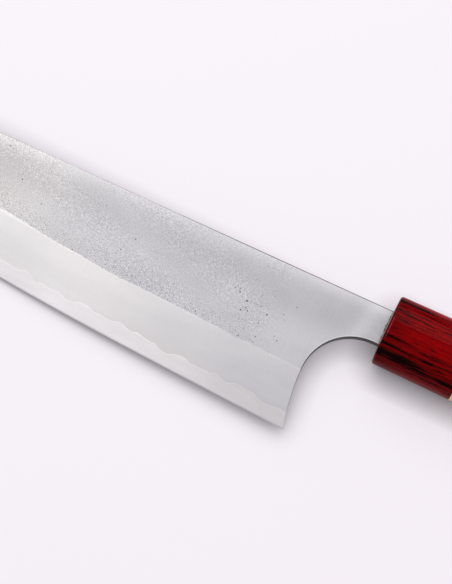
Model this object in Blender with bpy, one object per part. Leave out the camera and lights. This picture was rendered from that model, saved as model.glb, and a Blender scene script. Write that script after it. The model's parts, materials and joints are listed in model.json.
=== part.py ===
"""A gyuto kitchen knife: a three-layer steel blade in an oval wooden handle with a separate ferrule.

The knife is drawn in its own frame. X runs from the tip towards the butt of the handle, Y from the
cutting edge up to the spine, and Z across the blade, towards its left face. The handle's axis is
y = z = 0 and the rim of the ferrule's front is x = 0. At the end an empty lays the whole knife on its
right side, the way it settles on a table.
"""

from math import cos, pi, radians, sin, sqrt

import bmesh
import bpy
from mathutils import Matrix, Vector

MM = 0.001

# Blade, side view
EDGE_LENGTH = 240 * MM
HEEL_HEIGHT = 51.3 * MM
EDGE_SLOPE = 0.04
BELLY_POWER = 4
SPINE_DROP = 13 * MM
SPINE_DROP_LENGTH = 80 * MM
TIP_NOSE = 0.6 * MM
NECK_HEIGHT = 12.4 * MM
NECK_LENGTH = 2.1 * MM
CHOIL_RADIUS = 17.5 * MM
CHOIL_FLARE_RADIUS = 76 * MM

# Blade, cross section
SPINE_AT_FERRULE = 3.7 * MM
SPINE_AT_TIP = 1.3 * MM
FLAT_TAPER = 0.024
BEVEL_WIDTH = 19.9 * MM
EDGE_THICKNESS = 0.2 * MM
EASED_EDGE = 0.3 * MM
CORE_AT_FERRULE = 0.86 * MM
CORE_AT_TIP = 0.6 * MM
WELD_LINE = 0.01 * MM

# Tang
SHOULDER_DEPTH = 5 * MM
TANG_LENGTH = 95 * MM
TANG_HEIGHT = 8 * MM
TANG_END_HEIGHT = 5 * MM
TANG_END_THICKNESS = 2.4 * MM

# Handle
HANDLE_LENGTH = 140 * MM
FERRULE_LENGTH = 27.8 * MM
FRONT_HEIGHT = 24.4 * MM
FRONT_THICKNESS = 18.8 * MM
BUTT_HEIGHT = 27.1 * MM
BUTT_THICKNESS = 21 * MM
OVAL_POWER = 2.3
FRONT_ROUNDING = 1 * MM
FRONT_DOME = 0.4 * MM
BUTT_ROUNDING = 1.6 * MM
GLUE_LINE = 0.1 * MM

# Inside the handle
DOWEL_DIAMETER = 12 * MM
DOWEL_LENGTH = 52 * MM
POCKET_HEIGHT = 9.4 * MM
POCKET_THICKNESS = 6.2 * MM
POCKET_END_ROOM = 3 * MM
FIT_GAP = 0.3 * MM
MOUTH_MARGIN = 1.1 * MM
SEAL_DEPTH = 3 * MM
SEAL_RECESS = 0.2 * MM

# Densities in kilograms per cubic metre, which settle how the knife lies
STEEL_DENSITY = 7850
MAGNOLIA_DENSITY = 480
PAKKAWOOD_DENSITY = 1250
ADHESIVE_DENSITY = 1150
LYING_WITHIN = radians(45)

# Fineness of the mesh
BLADE_STATIONS = 40
BEVEL_ROWS = 4
STATION_MARGIN = 0.6 * MM
ARC_STEPS = 14
OVAL_SIDES = 56
BORE_SIDES = 32
ROUNDING_STEPS = 4
DOME_STEPS = 4
EASING_STEPS = 2
SMOOTH_WITHIN = radians(30)
HALVINGS = 50
CUT_PAST = 5 * MM

# Lines that several pieces share
SPINE_Y = NECK_HEIGHT / 2
HEEL_Y = SPINE_Y - HEEL_HEIGHT
CHOIL_FRONT_X = -NECK_LENGTH - CHOIL_RADIUS
CHOIL_CENTRE_Y = -NECK_HEIGHT / 2 - CHOIL_RADIUS
TIP_Y = SPINE_Y - SPINE_DROP - TIP_NOSE
DOWEL_FRONT_X = SHOULDER_DEPTH + FIT_GAP
DOWEL_REAR_X = DOWEL_FRONT_X + DOWEL_LENGTH
POCKET_REAR_X = TANG_LENGTH + POCKET_END_ROOM


def choil_x(y):
    """The choil: a quarter circle under the neck, then a wide arc that flares back to the heel."""
    below = CHOIL_CENTRE_Y - y
    if below > 0:
        return CHOIL_FRONT_X + CHOIL_FLARE_RADIUS - sqrt(CHOIL_FLARE_RADIUS ** 2 - below ** 2)
    return -NECK_LENGTH - sqrt(max(CHOIL_RADIUS ** 2 - below ** 2, 0))


HEEL_X = choil_x(HEEL_Y)
BLADE_REACH = sqrt(EDGE_LENGTH ** 2 - (TIP_Y - HEEL_Y) ** 2)
TIP_X = HEEL_X - BLADE_REACH


def edge_y(x):
    """The cutting edge rises gently from the heel and sweeps up in the belly."""
    ahead = (HEEL_X - x) / BLADE_REACH
    belly = TIP_Y - HEEL_Y - EDGE_SLOPE * BLADE_REACH
    return HEEL_Y + EDGE_SLOPE * BLADE_REACH * ahead + belly * max(ahead, 0) ** BELLY_POWER


def spine_y(x):
    """The spine is straight, then drops towards the tip."""
    into_drop = max(TIP_X + SPINE_DROP_LENGTH - x, 0) / SPINE_DROP_LENGTH
    return SPINE_Y - SPINE_DROP * into_drop ** 2


def bevel_width(x):
    """The wide bevel keeps its width until it reaches the spine near the tip."""
    return min(BEVEL_WIDTH, spine_y(x) - edge_y(x))


def flat_half(x, y):
    """Half the thickness of the flat faces above the bevel, which are two planes."""
    towards_tip = x / TIP_X
    spine = SPINE_AT_FERRULE + (SPINE_AT_TIP - SPINE_AT_FERRULE) * towards_tip
    return (spine - FLAT_TAPER * (SPINE_Y - y)) / 2


def bevel_half(x, y):
    """Half the thickness on the bevel, between the shinogi line and the cutting edge."""
    above = (y - edge_y(x)) / BEVEL_WIDTH
    thin = EDGE_THICKNESS / 2
    return thin + (flat_half(x, edge_y(x) + bevel_width(x)) - thin) * above


def tang_half(x, y):
    """Half the thickness of the tang, thinning from the shoulder to its end."""
    along = (x - SHOULDER_DEPTH) / (TANG_LENGTH - SHOULDER_DEPTH)
    front = flat_half(SHOULDER_DEPTH, 0)
    return flat_half(SHOULDER_DEPTH, y) + (TANG_END_THICKNESS / 2 - front) * along


def core_half(x):
    """Half the thickness of the hard core layer, which thins towards the tip."""
    return (CORE_AT_FERRULE + (CORE_AT_TIP - CORE_AT_FERRULE) * x / TIP_X) / 2


def crossing(low, high, is_past):
    """Finds the place between low and high where a test changes from false to true."""
    for _ in range(HALVINGS):
        middle = (low + high) / 2
        low, high = (low, middle) if is_past(middle) else (middle, high)
    return high


def blade_stations():
    """Places along the blade, closer together where the belly curves up to the tip."""
    run_out = crossing(TIP_X, HEEL_X, lambda x: spine_y(x) - edge_y(x) > BEVEL_WIDTH)
    front = CHOIL_FRONT_X - STATION_MARGIN
    shares = [k / BLADE_STATIONS for k in range(BLADE_STATIONS + 1)]
    places = [front + (TIP_X - front) * sin(pi / 2 * share) for share in shares]
    return sorted(places + [run_out]), run_out


def choil_points(low, high, steps):
    """Evenly spaced heights on the choil, from low to high."""
    heights = [low + (high - low) * k / steps for k in range(steps + 1)]
    return [(choil_x(y), y) for y in heights]


def upper_choil(shinogi_y):
    """The choil from just above the shinogi line to where the straight neck begins."""
    flare = choil_points(shinogi_y, max(CHOIL_CENTRE_Y, shinogi_y), BEVEL_ROWS)[1:-1]
    quarter = []
    for k in range(ARC_STEPS + 1):
        angle = k * pi / 2 / ARC_STEPS
        x = -NECK_LENGTH - CHOIL_RADIUS * cos(angle)
        quarter.append((x, CHOIL_CENTRE_Y + CHOIL_RADIUS * sin(angle)))
    return [point for point in flare + quarter if point[1] > shinogi_y]


def blade_side():
    """The side view as faces, each with the rule for its thickness, and the points on the edge."""
    stations, run_out = blade_stations()
    columns = []
    for x in stations:
        rise = bevel_width(x) / BEVEL_ROWS
        columns.append([(x, edge_y(x) + k * rise) for k in range(BEVEL_ROWS + 1)])
    shinogi_y = crossing(HEEL_Y, -NECK_HEIGHT / 2, lambda y: y - edge_y(choil_x(y)) > BEVEL_WIDTH)
    columns.append(choil_points(HEEL_Y, shinogi_y, BEVEL_ROWS))
    faces = []
    for front, rear in zip(columns, columns[1:]):
        for k in range(BEVEL_ROWS):
            faces.append((bevel_half, (front[k], rear[k], rear[k + 1], front[k + 1])))

    steps = ((-1, NECK_HEIGHT), (-1, TANG_HEIGHT), (1, TANG_HEIGHT), (1, NECK_HEIGHT))
    shoulder = [(SHOULDER_DEPTH, side * height / 2) for side, height in steps]
    shinogi = [column[-1] for column in columns if column[-1][0] >= run_out]
    spine = [(x, spine_y(x)) for x in reversed(stations) if x > run_out]
    faces.append((flat_half, shinogi + upper_choil(shinogi_y) + shoulder + spine))
    end = [(TANG_LENGTH, side * TANG_END_HEIGHT / 2) for side in (-1, 1)]
    faces.append((tang_half, (shoulder[1], *end, shoulder[2])))
    return faces, {column[0] for column in columns}


def blade_form():
    """Blade, neck and tang in one closed form, eased along every rim but the cutting edge."""
    faces, edge_points = blade_side()
    mesh = bmesh.new()
    left = {}
    for half, points in faces:
        for x, y in points:
            if (x, y) not in left:
                left[x, y] = mesh.verts.new((x, y, half(x, y)))
        mesh.faces.new([left[point] for point in points])
    ease = mesh.edges.layers.float.new("bevel_weight_edge")
    rim = [line for line in mesh.edges if line.is_boundary]
    blunt = {left[point] for point in edge_points}
    twin = {v: mesh.verts.new((v.co.x, v.co.y, -v.co.z)) for v in left.values()}
    for side in list(mesh.faces):
        mesh.faces.new([twin[v] for v in reversed(side.verts)])
    for line in rim:
        start = line.link_loops[0].vert
        end = line.other_vert(start)
        mesh.faces.new((end, start, twin[start], twin[end]))
        weight = min((start.co.z + end.co.z) / SPINE_AT_FERRULE, 1)
        if not blunt.issuperset((start, end)):
            line[ease] = weight
            mesh.edges.get((twin[start], twin[end]))[ease] = weight
    form = add_object("blade_form", mesh)
    eased = form.modifiers.new("eased", "BEVEL")
    eased.limit_method = "WEIGHT"
    eased.width = EASED_EDGE
    eased.segments = EASING_STEPS
    eased.use_clamp_overlap = False
    return form


def box_ring(x, bottom, top, right, left):
    """Four corners of a rectangle across the knife."""
    return [(x, bottom, right), (x, top, right), (x, top, left), (x, bottom, left)]


def centred_ring(x, height, thickness):
    """A rectangle across the knife, centred on the handle's axis."""
    return box_ring(x, -height / 2, height / 2, -thickness / 2, thickness / 2)


def power_ring(x, height, thickness, power, sides):
    """An oval across the knife. Power 2 is an ellipse, and more is squarer."""
    ring = []
    for k in range(sides):
        angle = 2 * pi * k / sides
        y = abs(cos(angle)) ** (2 / power) * (1 if cos(angle) > 0 else -1)
        z = abs(sin(angle)) ** (2 / power) * (1 if sin(angle) > 0 else -1)
        ring.append((x, y * height / 2, z * thickness / 2))
    return ring


def handle_ring(x, inset=0):
    """The handle's oval at x, widening evenly from the ferrule to the butt."""
    along = x / HANDLE_LENGTH
    height = FRONT_HEIGHT + (BUTT_HEIGHT - FRONT_HEIGHT) * along
    thickness = FRONT_THICKNESS + (BUTT_THICKNESS - FRONT_THICKNESS) * along
    return power_ring(x, height - 2 * inset, thickness - 2 * inset, OVAL_POWER, OVAL_SIDES)


def rounded_end(x, radius, direction):
    """Rings that round the handle's end at x over, from the end face inwards."""
    angles = [k * pi / 2 / ROUNDING_STEPS for k in range(ROUNDING_STEPS + 1)]
    return [handle_ring(x + direction * radius * (1 - cos(a)), radius * (1 - sin(a))) for a in angles]


def domed_front():
    """Rings over the ferrule's front, from near the middle of its shallow dome to the end of its rounding."""
    rounding = rounded_end(0, FRONT_ROUNDING, 1)
    dome = []
    for k in range(1, DOME_STEPS):
        share = k / DOME_STEPS
        dome.append([(FRONT_DOME * (share ** 2 - 1), y * share, z * share) for _, y, z in rounding[0]])
    return dome + rounding


def bore_ring(x, diameter):
    """A round section across the knife."""
    return power_ring(x, diameter, diameter, 2, BORE_SIDES)


def tang_ring(x, clearance):
    """The tang's section at x, with clearance all round."""
    along = (x - SHOULDER_DEPTH) / (TANG_LENGTH - SHOULDER_DEPTH)
    height = TANG_HEIGHT + (TANG_END_HEIGHT - TANG_HEIGHT) * along
    thickness = 2 * tang_half(x, TANG_HEIGHT / 2)
    return centred_ring(x, height + 2 * clearance, thickness + 2 * clearance)


def neck_ring(x, margin):
    """The neck's section, with a margin all round."""
    return centred_ring(x, NECK_HEIGHT + 2 * margin, SPINE_AT_FERRULE + 2 * margin)


def loft(rings):
    """A closed mesh through the rings, which all have as many points."""
    mesh = bmesh.new()
    loops = [[mesh.verts.new(point) for point in ring] for ring in rings]
    for near, far in zip(loops, loops[1:]):
        for k in range(len(near)):
            mesh.faces.new((near[k - 1], near[k], far[k], far[k - 1]))
    mesh.faces.new(loops[0])
    mesh.faces.new(loops[-1][::-1])
    return mesh


def add_object(name, mesh, material=None):
    """Makes an object of the mesh. A form without a material only cuts."""
    bmesh.ops.recalc_face_normals(mesh, faces=mesh.faces)
    data = bpy.data.meshes.new(name)
    mesh.to_mesh(data)
    mesh.free()
    made = bpy.data.objects.new(name, data)
    bpy.context.scene.collection.objects.link(made)
    if material is None:
        made.hide_render = True
        made.display_type = "WIRE"
    else:
        data.materials.append(material)
        data.shade_smooth()
        data.set_sharp_from_angle(angle=SMOOTH_WITHIN)
    return made


def straight(name, section, ends, material=None):
    """A solid or a cutter whose section runs straight between two ends."""
    return add_object(name, loft([section(x) for x in ends]), material)


def combine(target, operation, other):
    """Adds a Boolean with the other form to the target."""
    step = target.modifiers.new(operation.lower() + "_" + other.name, "BOOLEAN")
    step.operation = operation
    step.object = other


def finish_material(name, colour, roughness, metallic=0.0):
    """A plain material with the piece's colour and polish."""
    material = bpy.data.materials.new(name)
    material.use_nodes = True
    shader = material.node_tree.nodes["Principled BSDF"]
    shader.inputs["Base Color"].default_value = (*colour, 1)
    shader.inputs["Roughness"].default_value = roughness
    shader.inputs["Metallic"].default_value = metallic
    return material


def blade_layer(name, right, left, material, form):
    """One layer of the forged billet, from its right face to its left, ground to the blade's form."""
    def section(x):
        return box_ring(x, HEEL_Y - CUT_PAST, SPINE_Y + CUT_PAST, right(x), left(x))

    layer = straight(name, section, (TIP_X - CUT_PAST, TANG_LENGTH + CUT_PAST), material)
    combine(layer, "INTERSECT", form)
    return layer


def blade_pieces(form):
    """The hard core, which alone reaches the edge, between two softer claddings."""
    def inner(x):
        return core_half(x) + WELD_LINE

    def outer(x):
        return SPINE_AT_FERRULE + CUT_PAST

    hard = finish_material("hard_core_steel", (0.62, 0.62, 0.64), 0.25, 1.0)
    left = finish_material("left_cladding_steel", (0.5, 0.5, 0.51), 0.4, 1.0)
    right = finish_material("right_cladding_steel", (0.5, 0.5, 0.51), 0.4, 1.0)
    return [
        blade_layer("core_steel", lambda x: -core_half(x), core_half, hard, form),
        blade_layer("cladding_left", inner, outer, left, form),
        blade_layer("cladding_right", lambda x: -outer(x), lambda x: -inner(x), right, form),
    ]


def handle_cutters():
    """The mouth for the neck, the bore for the dowel and the pocket for the tang's end."""
    bore_rear = DOWEL_REAR_X + FIT_GAP
    mouth = straight("mouth_cutter", lambda x: neck_ring(x, MOUTH_MARGIN),
                     (-CUT_PAST, SHOULDER_DEPTH + FIT_GAP))
    bore = straight("bore_cutter", lambda x: bore_ring(x, DOWEL_DIAMETER + 2 * FIT_GAP),
                    (SHOULDER_DEPTH, bore_rear))
    pocket = straight("pocket_cutter", lambda x: centred_ring(x, POCKET_HEIGHT, POCKET_THICKNESS),
                      (bore_rear - FIT_GAP, POCKET_REAR_X))
    return mouth, bore, pocket


def handle_pieces(mouth, bore, pocket):
    """The ferrule and the handle body, which share one oval line and one bore."""
    red = finish_material("red_pakkawood", (0.16, 0.006, 0.008), 0.18)
    cream = finish_material("magnolia", (0.66, 0.5, 0.32), 0.6)
    ferrule = add_object("ferrule", loft(domed_front() + [handle_ring(FERRULE_LENGTH)]), red)
    butt = rounded_end(HANDLE_LENGTH, BUTT_ROUNDING, -1)
    body = add_object("handle_body", loft(butt + [handle_ring(FERRULE_LENGTH + GLUE_LINE)]), cream)
    combine(ferrule, "DIFFERENCE", mouth)
    combine(ferrule, "DIFFERENCE", bore)
    combine(body, "DIFFERENCE", bore)
    combine(body, "DIFFERENCE", pocket)
    return [ferrule, body]


def inner_cutters():
    """The room for the tang in the dowel and the adhesive, and for the neck in the seal."""
    tang_room = straight("tang_cutter", lambda x: tang_ring(x, FIT_GAP),
                         (SHOULDER_DEPTH, TANG_LENGTH + FIT_GAP))
    neck_room = straight("neck_cutter", lambda x: neck_ring(x, FIT_GAP), (-CUT_PAST, SHOULDER_DEPTH))
    return tang_room, neck_room


def inner_pieces(tang_room, neck_room):
    """The slotted dowel, the adhesive behind it and the seal round the neck."""
    wood = finish_material("dowel_wood", (0.6, 0.44, 0.27), 0.7)
    glue = finish_material("tang_glue", (0.5, 0.35, 0.15), 0.5)
    filler = finish_material("mouth_filler", (0.45, 0.3, 0.17), 0.6)
    dowel = straight("tang_dowel", lambda x: bore_ring(x, DOWEL_DIAMETER),
                     (DOWEL_FRONT_X, DOWEL_REAR_X), wood)
    plug = (POCKET_HEIGHT - 2 * FIT_GAP, POCKET_THICKNESS - 2 * FIT_GAP)
    adhesive = straight("tang_adhesive", lambda x: centred_ring(x, *plug),
                        (DOWEL_REAR_X + FIT_GAP, POCKET_REAR_X - FIT_GAP), glue)
    seal_front = SEAL_RECESS - FRONT_DOME
    seal = straight("mouth_seal", lambda x: neck_ring(x, MOUTH_MARGIN - FIT_GAP),
                    (seal_front, seal_front + SEAL_DEPTH), filler)
    combine(dowel, "DIFFERENCE", tang_room)
    combine(adhesive, "DIFFERENCE", tang_room)
    combine(seal, "DIFFERENCE", neck_room)
    return [dowel, adhesive, seal]


def solid_points(piece):
    """The piece's finished corners, its volume and its centre of mass times its volume."""
    data = piece.evaluated_get(bpy.context.evaluated_depsgraph_get()).to_mesh()
    data.calc_loop_triangles()
    points = [v.co.copy() for v in data.vertices]
    volume = 0
    moment = Vector()
    for triangle in data.loop_triangles:
        a, b, c = (points[i] for i in triangle.vertices)
        share = a.dot(b.cross(c)) / 6
        volume += share
        moment += (a + b + c) * share / 4
    return points, volume, moment


def is_outermost(face, points):
    """Whether no point lies beyond the face, so that it is no sliver inside the hull."""
    corner = face.verts[0].co
    return max(face.normal.dot(point - corner) for point in points) < WELD_LINE


def lie_on_right_side(root, densities):
    """Turns the root so that the knife rests on the hull face below its centre of mass."""
    hull = bmesh.new()
    mass = 0
    moment = Vector()
    for piece, density in densities.items():
        points, volume, first = solid_points(piece)
        mass += volume * density
        moment += first * density
        for point in points:
            hull.verts.new(point)
    centre = moment / mass
    corners = [v.co.copy() for v in hull.verts]
    bmesh.ops.remove_doubles(hull, verts=hull.verts, dist=WELD_LINE)
    bmesh.ops.convex_hull(hull, input=hull.verts)
    bmesh.ops.recalc_face_normals(hull, faces=hull.faces)
    down = [face for face in hull.faces if face.normal.z < -cos(LYING_WITHIN)]
    outer = [face for face in down if is_outermost(face, corners)]
    under = min(outer, key=lambda face: face.normal.dot(face.verts[0].co - centre))
    turn = under.normal.rotation_difference(Vector((0, 0, -1))).to_matrix()
    hull.free()
    turned = [turn @ point for point in corners]
    low, high = (Vector([pick(p[axis] for p in turned) for axis in range(3)]) for pick in (min, max))
    foot = Vector(((low.x + high.x) / 2, (low.y + high.y) / 2, low.z))
    root.matrix_world = Matrix.Translation(-foot) @ turn.to_4x4()


def main():
    """Builds the knife in a cleared scene and lays it down."""
    for old in list(bpy.data.objects):
        bpy.data.objects.remove(old)
    form = blade_form()
    cutters = handle_cutters()
    rooms = inner_cutters()
    blade = blade_pieces(form)
    ferrule, body = handle_pieces(*cutters)
    dowel, adhesive, seal = inner_pieces(*rooms)
    densities = dict.fromkeys(blade, STEEL_DENSITY)
    densities.update({ferrule: PAKKAWOOD_DENSITY, body: MAGNOLIA_DENSITY, dowel: MAGNOLIA_DENSITY})
    densities.update({adhesive: ADHESIVE_DENSITY, seal: ADHESIVE_DENSITY})
    root = bpy.data.objects.new("knife", None)
    bpy.context.scene.collection.objects.link(root)
    bpy.context.view_layer.update()
    lie_on_right_side(root, densities)
    for part in (*densities, form, *cutters, *rooms):
        part.parent = root
    bpy.context.view_layer.update()


main()
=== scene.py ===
"""The looks of the gyuto knife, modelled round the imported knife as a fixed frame.

Every new piece is drawn in the knife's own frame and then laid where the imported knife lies. X runs from the
tip towards the butt, Y from the cutting edge up to the spine, Z across the blade towards its left face. The
handle's axis is y = z = 0 and the rim of the ferrule's front is x = 0. Sizes are in metres, but for the
tables that are said to be in millimetres.
"""

import json
from math import cos, pi, radians, sin, sqrt

import bmesh
import bpy
from mathutils import Matrix, Vector
from mathutils.noise import noise as lumps


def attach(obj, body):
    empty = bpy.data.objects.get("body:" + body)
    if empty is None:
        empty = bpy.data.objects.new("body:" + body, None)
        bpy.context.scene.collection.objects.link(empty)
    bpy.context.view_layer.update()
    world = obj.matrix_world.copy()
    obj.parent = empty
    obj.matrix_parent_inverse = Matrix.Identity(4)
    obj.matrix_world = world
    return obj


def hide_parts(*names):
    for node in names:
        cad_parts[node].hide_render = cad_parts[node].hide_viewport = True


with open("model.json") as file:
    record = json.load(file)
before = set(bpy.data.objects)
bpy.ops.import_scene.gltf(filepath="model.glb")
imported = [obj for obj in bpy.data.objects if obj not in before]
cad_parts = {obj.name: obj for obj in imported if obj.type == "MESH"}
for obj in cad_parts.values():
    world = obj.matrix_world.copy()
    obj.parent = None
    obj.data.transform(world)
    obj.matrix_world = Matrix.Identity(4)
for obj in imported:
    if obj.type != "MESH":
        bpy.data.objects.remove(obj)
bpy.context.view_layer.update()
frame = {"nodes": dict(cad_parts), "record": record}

MM = 0.001

# Blade, side view, as in the construction
EDGE_SLOPE = 0.04
BELLY_POWER = 4
SPINE_DROP = 13 * MM
SPINE_DROP_LENGTH = 80 * MM
TIP_NOSE = 0.6 * MM
NECK_LENGTH = 2.1 * MM
CHOIL_RADIUS = 17.5 * MM
CHOIL_FLARE_RADIUS = 76 * MM
SHOULDER_DEPTH = 5 * MM
TANG_HEIGHT = 8 * MM
TANG_END_HEIGHT = 5 * MM
TANG_END_THICKNESS = 2.4 * MM

# Blade, cross section, as in the construction
SPINE_AT_FERRULE = 3.7 * MM
SPINE_AT_TIP = 1.3 * MM
FLAT_TAPER = 0.024
BEVEL_WIDTH = 19.9 * MM
EDGE_THICKNESS = 0.2 * MM
WELD_LINE = 0.01 * MM

# Details of the blade that only the looks need
EASED_EDGE = 0.25 * MM
RIDGE_WIDTH = 0.5 * MM
KEEN_WIDTH = 0.4 * MM
KEEN_THICKNESS = 0.03 * MM

# The wavy line where the cladding ends: its mean height above the edge, and for each of the waves that make
# it up the length, the swing and the angle it starts at. The skew leans their crests.
LINE_HEIGHT = 5.19 * MM
LINE_WAVES = ((7.31 * MM, 0.25 * MM, 1.3), (12.09 * MM, -0.42 * MM, 2.84),
              (19.3 * MM, 0.25 * MM, 0.37), (44.5 * MM, -0.4 * MM, 3.73))
LINE_SKEW = 0.6

# Handle, as in the construction
HANDLE_LENGTH = 140 * MM
FRONT_HEIGHT = 24.4 * MM
FRONT_THICKNESS = 18.8 * MM
BUTT_HEIGHT = 27.1 * MM
BUTT_THICKNESS = 21 * MM
OVAL_POWER = 2.3
ROUND_POWER = 2
FRONT_ROUNDING = 1 * MM
FRONT_DOME = 0.4 * MM
BUTT_ROUNDING = 1.6 * MM
DOWEL_DIAMETER = 12 * MM
DOWEL_REAR = 57.3 * MM
POCKET_HEIGHT = 9.4 * MM
POCKET_THICKNESS = 6.2 * MM
POCKET_REAR = 98 * MM
FIT_GAP = 0.3 * MM
MOUTH_MARGIN = 1.1 * MM
SEAL_REAR = 2.8 * MM

# The filler round the neck. Its section goes by shares of the way from neck to mouth, and from its rear to
# its front, which is lumpy and sinks back towards the spine and the choil.
BEAD_PROFILE = ((0, 0), (0, 0.9), (0.2, 0.99), (0.5, 1), (0.75, 0.93), (0.9, 0.8), (1, 0.6), (1, 0))
BEAD_FRONT = -0.46 * MM
BEAD_SWING = 0.6 * MM
BEAD_SINK = 0.3 * MM
BEAD_SINK_POWER = 4
BEAD_LUMP = 1.1 * MM

# Fineness of the meshes
BLADE_STATIONS = 110
BEVEL_ROWS = 6
STATION_MARGIN = 0.6 * MM
ARC_STEPS = 48
FLARE_STEPS = 8
LAYER_STEP = 0.8 * MM
OVAL_SIDES = 144
BORE_SIDES = 64
ROUNDING_STEPS = 10
DOME_STEPS = 10
EASING_STEPS = 4
BEAD_CORNER_STEPS = 5
BEAD_SIDE_STEPS = (26, 8)
SMOOTH_WITHIN = radians(30)
LEVEL_WITHIN = radians(8)
CREASE_ABOVE = radians(1.5)
ROW_TOLERANCE = 0.1 * MM
HALVINGS = 50
CUT_PAST = 5 * MM

# The photograph's view, in the knife's frame
VIEW_TARGET = (-53.3 * MM, -11.4 * MM, 0)
VIEW_TOWARDS = (0.12, -0.25, 0.9608)
VIEW_DISTANCE = 450 * MM
VIEW_ROLL = radians(24.85)
VIEW_LENS = 83.24
CLIP_START = 10 * MM

# The knife's axes
ALONG, UP, ACROSS = range(3)


def square_to(axis, vector):
    """The direction of the vector's part that is square to this axis."""
    return (vector - vector.project(axis)).normalized()


def turned(x, y, z):
    """The turn that brings the three axes to these directions."""
    return Matrix((x, y, z)).transposed().to_4x4()


def knife_axes():
    """The knife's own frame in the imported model, from the mounts on its butt and on its two flats."""
    mounts = {mount["name"]: mount for mount in frame["record"]["mounts"]}
    along = Vector(mounts["handle_butt"]["axis"]).normalized()
    left, right = (Vector(mounts["blade_flat_" + side]["axis"]) for side in ("left", "right"))
    across = square_to(along, left - right)
    origin = Vector(mounts["handle_butt"]["pos_m"]) - HANDLE_LENGTH * along
    return Matrix.Translation(origin) @ turned(along, across.cross(along), across)


KNIFE = knife_axes()


def span(node):
    """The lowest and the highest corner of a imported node, in the knife's frame."""
    into_knife = KNIFE.inverted()
    points = [into_knife @ v.co for v in frame["nodes"][node].data.vertices]
    return [Vector([pick(p[axis] for p in points) for axis in range(3)]) for pick in (min, max)]


BLADE_LOW, BLADE_HIGH = span("core_steel")
TIP_X, HEEL_Y = BLADE_LOW.xy
TANG_END_X, SPINE_Y = BLADE_HIGH.xy
TIP_Y = SPINE_Y - SPINE_DROP - TIP_NOSE
FERRULE_REAR = (span("ferrule")[1].x + span("handle_body")[0].x) / 2
CHOIL_FRONT_X = -NECK_LENGTH - CHOIL_RADIUS
CHOIL_CENTRE_Y = -SPINE_Y - CHOIL_RADIUS


# A Mix node's sockets for its share and its two colours, and for the colour it makes
MIX_INPUTS = (0, 6, 7)
MIX_OUTPUT = 2

# How much of a dot's radius is its full middle
DOT_MIDDLE = 0.4


class Field:
    """A value that varies over a surface: the output of a node. Arithmetic on it adds Math nodes."""

    def __init__(self, tree, socket):
        self.tree = tree
        self.socket = socket

    def math(self, operation, *others):
        node = add_node(self.tree, "ShaderNodeMath", {}, operation=operation)
        for socket, value in zip(node.inputs, (self, *others)):
            feed(socket, value)
        return Field(self.tree, node.outputs[0])

    def vector_math(self, operation, other, output="Value"):
        node = add_node(self.tree, "ShaderNodeVectorMath", {}, operation=operation)
        for socket, value in zip(node.inputs, (self, other)):
            feed(socket, value)
        return Field(self.tree, node.outputs[output])

    def __add__(self, other):
        return self.math("ADD", other)

    def __sub__(self, other):
        return self.math("SUBTRACT", other)

    def __rsub__(self, other):
        return self.math("MULTIPLY_ADD", -1, other)

    def __mul__(self, other):
        return self.math("MULTIPLY", other)

    def __truediv__(self, other):
        return self.math("DIVIDE", other)

    def __pow__(self, power):
        return self.math("POWER", power)

    __radd__ = __add__
    __rmul__ = __mul__


def feed(socket, value):
    """Links a field to a node's input, or sets the input's own value. A colour may leave out its alpha."""
    if isinstance(value, Field):
        value.tree.links.new(value.socket, socket)
    elif socket.type == "RGBA":
        socket.default_value = (*value, 1)
    else:
        socket.default_value = value


def add_node(tree, kind, inputs, **settings):
    """Adds a node with these settings and feeds its named inputs."""
    node = tree.nodes.new(kind)
    for name, value in settings.items():
        setattr(node, name, value)
    for name, value in inputs.items():
        feed(node.inputs[name], value)
    return node


def sine(value):
    """The sine of a number or of a field."""
    return value.math("SINE") if isinstance(value, Field) else sin(value)


def positive(value):
    """The number or field, or 0 where it is less."""
    return value.math("MAXIMUM", 0) if isinstance(value, Field) else max(value, 0)


def between(share, low, high):
    """The number or field low where the share is 0, and high where it is 1."""
    return share * (high - low) + low


def band(field, low, high, strength=1):
    """From 0 where the field is at low, smoothly to the strength at high. Low may be the larger."""
    ends = {"Value": field, "From Min": low, "From Max": high, "To Max": strength}
    node = add_node(field.tree, "ShaderNodeMapRange", ends, interpolation_type="SMOOTHSTEP")
    return Field(field.tree, node.outputs["Result"])


def hill(field, middle, reach, strength=1):
    """The strength where the field is at the middle, falling smoothly to 0 at this reach on either side."""
    return band((field - middle).math("ABSOLUTE"), reach, 0, strength)


def blend(share, low, high):
    """The colour low where the share is 0 or less, and high where it is 1 or more."""
    node = add_node(share.tree, "ShaderNodeMix", {}, data_type="RGBA")
    for socket, value in zip(MIX_INPUTS, (share, low, high)):
        feed(node.inputs[socket], value)
    return Field(share.tree, node.outputs[MIX_OUTPUT])


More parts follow.
